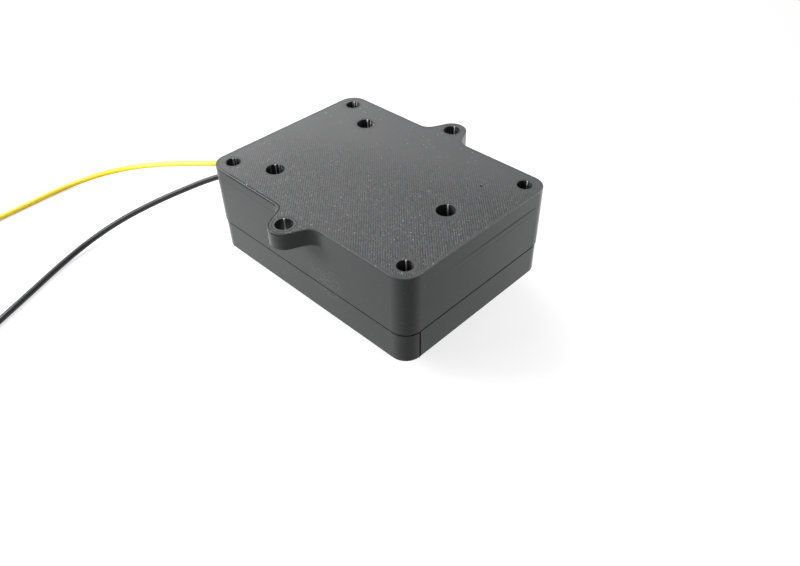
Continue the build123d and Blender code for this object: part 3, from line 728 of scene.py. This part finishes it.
turned = (600.0, 600.0, 4000.0)
drawn = (300.0, 4000.0, 4000.0)
metal_patches = (250.0, 250.0, 250.0)
metals = {
    "screw_steel": {
        "colours": ((0.07, 0.07, 0.075, 1), (0.12, 0.12, 0.13, 1)),
        "roughness": (0.30, 0.45),
        "marks": turned,
        "relief": 0.01,
    },
    "insert_brass": {
        "colours": ((0.70, 0.52, 0.24, 1), (0.80, 0.62, 0.32, 1)),
        "roughness": (0.22, 0.36),
        "marks": turned,
        "relief": 0.01,
    },
    "blade_metal": {
        "colours": ((0.66, 0.65, 0.61, 1), (0.76, 0.75, 0.72, 1)),
        "roughness": (0.20, 0.34),
        "marks": drawn,
        "relief": 0.01,
    },
    "terminal_metal": {
        "colours": ((0.62, 0.61, 0.58, 1), (0.74, 0.73, 0.70, 1)),
        "roughness": (0.28, 0.42),
        "marks": drawn,
        "relief": 0.015,
    },
    "tinned_copper": {
        "colours": ((0.62, 0.61, 0.60, 1), (0.78, 0.77, 0.76, 1)),
        "roughness": (0.25, 0.40),
        "marks": drawn,
        "relief": 0.02,
    },
}


def metal(name, colours, roughness, marks, relief):
    """A metal with fine marks, stretched along or round its axis."""
    g = Graph(name)
    brushed = g.noise(g.stretched(*marks), 1.0, 3.0)
    patches = g.noise(g.stretched(*metal_patches), 1.0, 2.0)
    return g.finish(
        Base_Color=g.blend(patches, *colours),
        Metallic=1.0,
        Roughness=g.between(brushed, *roughness),
        Normal=g.bump(brushed, relief * MM),
    )


insulation_waves = (350.0, 350.0, 350.0)
insulation_grain = (2500.0, 2500.0, 2500.0)
insulation_relief = 0.012
insulation_reach = (1.0, 0.9, 0.3)
insulations = {
    "yellow_insulation": {
        "colours": ((0.97, 0.685, 0.025, 1), (0.99, 0.74, 0.035, 1)),
        "roughness": (0.26, 0.36),
        "ior": 1.45,
        "glow": 1.0,
    },
    "black_insulation": {
        "colours": ((0.012, 0.013, 0.015, 1), (0.018, 0.019, 0.022, 1)),
        "roughness": (0.11, 0.16),
        "ior": 1.46,
        "glow": 0.1,
    },
}


def insulation(name, colours, roughness, ior, glow):
    """Smooth extruded wire insulation with faint waviness, and light that passes a little way in."""
    g = Graph(name)
    waves = g.noise(g.stretched(*insulation_waves), 1.0, 3.0)
    grain = g.noise(g.stretched(*insulation_grain), 1.0, 2.0)
    return g.finish(
        Base_Color=g.blend(waves, *colours),
        Roughness=g.between(grain, *roughness),
        Normal=g.bump(g.add(g.times(waves, 0.8), g.times(grain, 0.2)), insulation_relief * MM),
        IOR=ior,
        Subsurface_Weight=glow,
        Subsurface_Radius=insulation_reach,
        Subsurface_Scale=lead_diameter,
    )


def put_on(piece, material):
    """Gives every material slot of a piece the same material."""
    slots = piece.data.materials
    if len(slots) == 0:
        slots.append(material)
    for number in range(len(slots)):
        slots[number] = material


materials = {
    "printed_plastic": printed_plastic(),
    "moulded_plastic": moulded_plastic(),
    "fuse_plastic": fuse_plastic(),
}
for name, look in metals.items():
    materials[name] = metal(name, **look)
for name, look in insulations.items():
    materials[name] = insulation(name, **look)
for entry in frame["record"]["subparts"]:
    put_on(frame["nodes"][entry["node"]], materials[entry["material_slot"]])
for colour, lead in leads.items():
    put_on(lead, materials[colour + "_insulation"])
put_on(bore_highlight_piece, seam_and_highlight_plastic("bore_highlight_plastic", **bore_highlight_look))
put_on(corner_seam_piece, seam_and_highlight_plastic("corner_seam_plastic", **corner_seam_look))


# Ground and light


def is_background(g):
    """1 or more for what the camera sees, directly or in metal and glass, and 0 for light on the object."""
    rays = g.node("ShaderNodeLightPath").outputs
    return g.add(rays["Is Camera Ray"], rays["Is Glossy Ray"], rays["Is Transmission Ray"])


ground_size = 6.0
ground_colour = (0.42, 0.42, 0.42, 1)
ground_glow = (0.35, 1.6, 0.70, 1.0)


def make_ground():
    """A pale ground that shows almost white, fades to white far away, and keeps the object's shadow."""
    mesh = bpy.data.meshes.new("ground")
    half = ground_size / 2
    corners = [(x, y, 0) for x, y in ((-half, -half), (half, -half), (half, half), (-half, half))]
    mesh.from_pydata(corners, [], [(0, 1, 2, 3)])
    made = bpy.data.objects.new("ground", mesh)
    bpy.context.scene.collection.objects.link(made)
    g = Graph("ground")
    diffuse = g.node("ShaderNodeBsdfDiffuse")
    diffuse.inputs["Color"].default_value = ground_colour
    glow = g.node("ShaderNodeEmission")
    lift = g.ease(g.vector("LENGTH", g.place), *ground_glow)
    g.feed(glow.inputs["Strength"], g.times(g.math("MINIMUM", is_background(g), 1.0), lift))
    both = g.node("ShaderNodeAddShader")
    g.tree.links.new(diffuse.outputs[0], both.inputs[0])
    g.tree.links.new(glow.outputs[0], both.inputs[1])
    output = g.node("ShaderNodeOutputMaterial")
    g.tree.links.new(both.outputs[0], output.inputs[0])
    mesh.materials.append(g.material)


room_fill = 0.15
room_white = 1.0


def make_world():
    """A plain room: soft fill on the object, and white behind it."""
    world = bpy.data.worlds.new("room")
    bpy.context.scene.world = world
    world.use_nodes = True
    tree = world.node_tree
    tree.nodes.clear()
    rays = tree.nodes.new("ShaderNodeLightPath").outputs
    seen = rays["Is Camera Ray"]
    for kind in ("Is Glossy Ray", "Is Transmission Ray"):
        either = tree.nodes.new("ShaderNodeMath")
        either.operation = "MAXIMUM"
        tree.links.new(seen, either.inputs[0])
        tree.links.new(rays[kind], either.inputs[1])
        seen = either.outputs[0]
    mix = tree.nodes.new("ShaderNodeMixShader")
    tree.links.new(seen, mix.inputs[0])
    for slot, strength in ((1, room_fill), (2, room_white)):
        shade = tree.nodes.new("ShaderNodeBackground")
        shade.inputs["Color"].default_value = white
        shade.inputs["Strength"].default_value = strength
        tree.links.new(shade.outputs[0], mix.inputs[slot])
    output = tree.nodes.new("ShaderNodeOutputWorld")
    tree.links.new(mix.outputs[0], output.inputs[0])


lamps = {
    "key_light": {"place": (-0.88, 0.44, 0.74), "target": (0, 0, 0.03), "size": 0.9, "power": 7.8},
    "side_light": {"place": (-0.80, -0.95, 0.50), "target": (0, 0, 0.03), "size": 1.1, "power": 17.3},
    "lead_light": {
        "place": (-0.30, -0.32, 0.20),
        "target": (-0.10, -0.05, 0.0),
        "size": 0.15,
        "power": 1.6,
    },
    "upper_lead_light": {
        "place": (-0.126, -0.084, 0.150),
        "target": (-0.116, -0.080, 0.0),
        "size": 0.06,
        "power": 0.10,
    },
    "right_light": {
        "place": (0.15, 0.18, 0.05),
        "target": (0.05, 0.02, 0.03),
        "size": 0.08,
        "power": 0.55,
    },
}


def make_lamp(name, place, target, size, power):
    """A square soft light that faces a target."""
    data = bpy.data.lights.new(name, "AREA")
    data.shape = "SQUARE"
    data.size = size
    data.energy = power
    made = bpy.data.objects.new(name, data)
    made.location = place
    made.rotation_euler = (Vector(target) - Vector(place)).to_track_quat("-Z", "Y").to_euler()
    made.visible_camera = False
    bpy.context.scene.collection.objects.link(made)


make_ground()
make_world()
for name, lamp in lamps.items():
    make_lamp(name, **lamp)

bpy.context.scene.view_settings.view_transform = "Standard"

bpy.context.view_layer.update()
